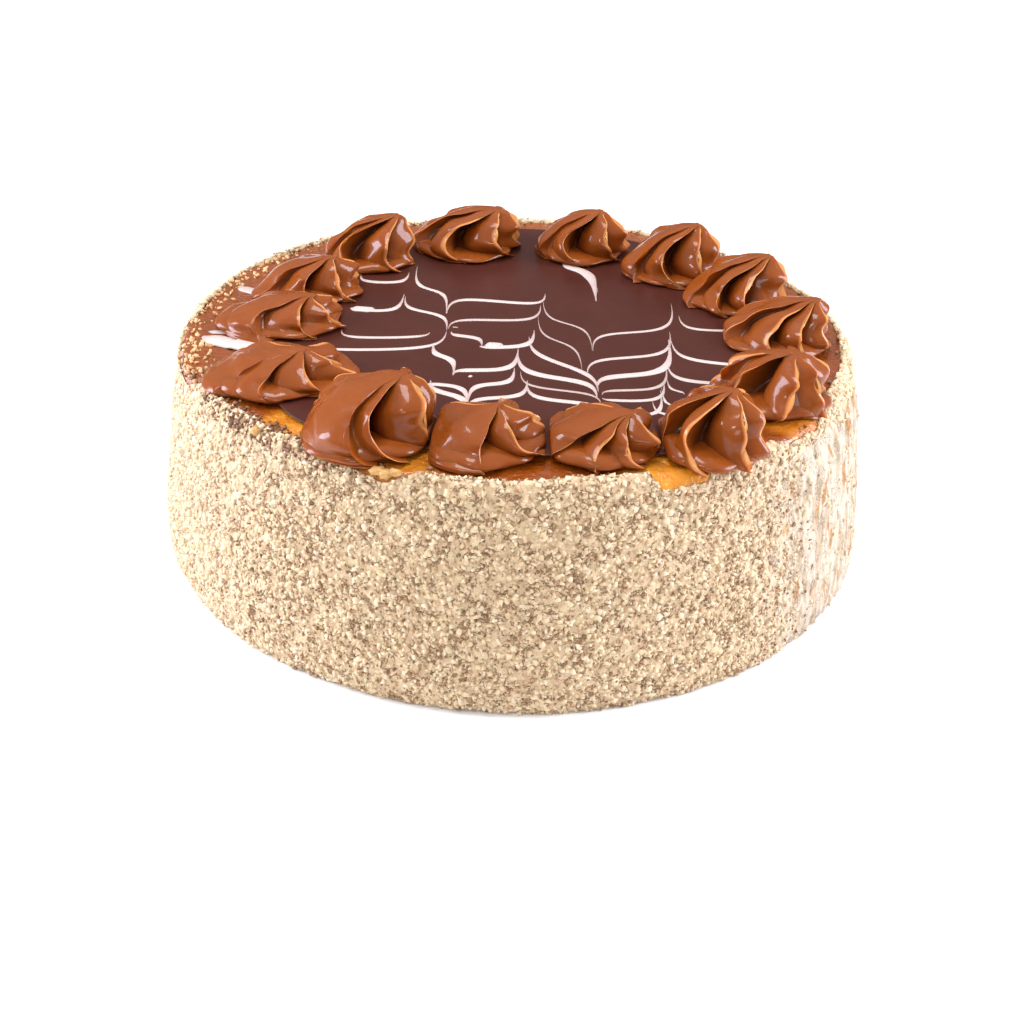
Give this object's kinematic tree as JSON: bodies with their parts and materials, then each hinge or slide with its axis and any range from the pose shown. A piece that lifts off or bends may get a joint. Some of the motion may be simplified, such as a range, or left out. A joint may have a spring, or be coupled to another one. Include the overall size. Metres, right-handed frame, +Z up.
{
  "type": "dulce de leche mille-feuille cake",
  "caption": "Round uncut mille-feuille cake with a chopped-nut side, feathered chocolate glaze and a ring of piped dulce de leche rosettes.",
  "frame": {"origin": "centre of the cake's flat base, on the surface it stands on", "axes": "+Z up through the middle of the cake, -Y towards the front"},
  "size_m": [0.2216, 0.221, 0.0834],
  "materials": {
    "crumb_coat": "matte chopped nuts and pastry crumbs, cream with brown skins",
    "amber_caramel": "glossy thin dulce de leche, amber",
    "chocolate": "satin-gloss dark chocolate glaze",
    "piped_caramel": "glossy thick dulce de leche, caramel brown",
    "white_icing": "satin white feathered icing lines"
  },
  "bodies": {
    "root": {"cake_body": "crumb_coat", "caramel_top": "amber_caramel", "chocolate_glaze": "chocolate", "rosette_01": "piped_caramel", "rosette_02": "piped_caramel", "rosette_03": "piped_caramel", "rosette_04": "piped_caramel", "rosette_05": "piped_caramel", "rosette_06": "piped_caramel", "rosette_07": "piped_caramel", "rosette_08": "piped_caramel", "rosette_09": "piped_caramel", "rosette_10": "piped_caramel", "rosette_11": "piped_caramel", "rosette_12": "piped_caramel", "rosette_13": "piped_caramel", "rosette_14": "piped_caramel"}
  },
  "joints": []
}
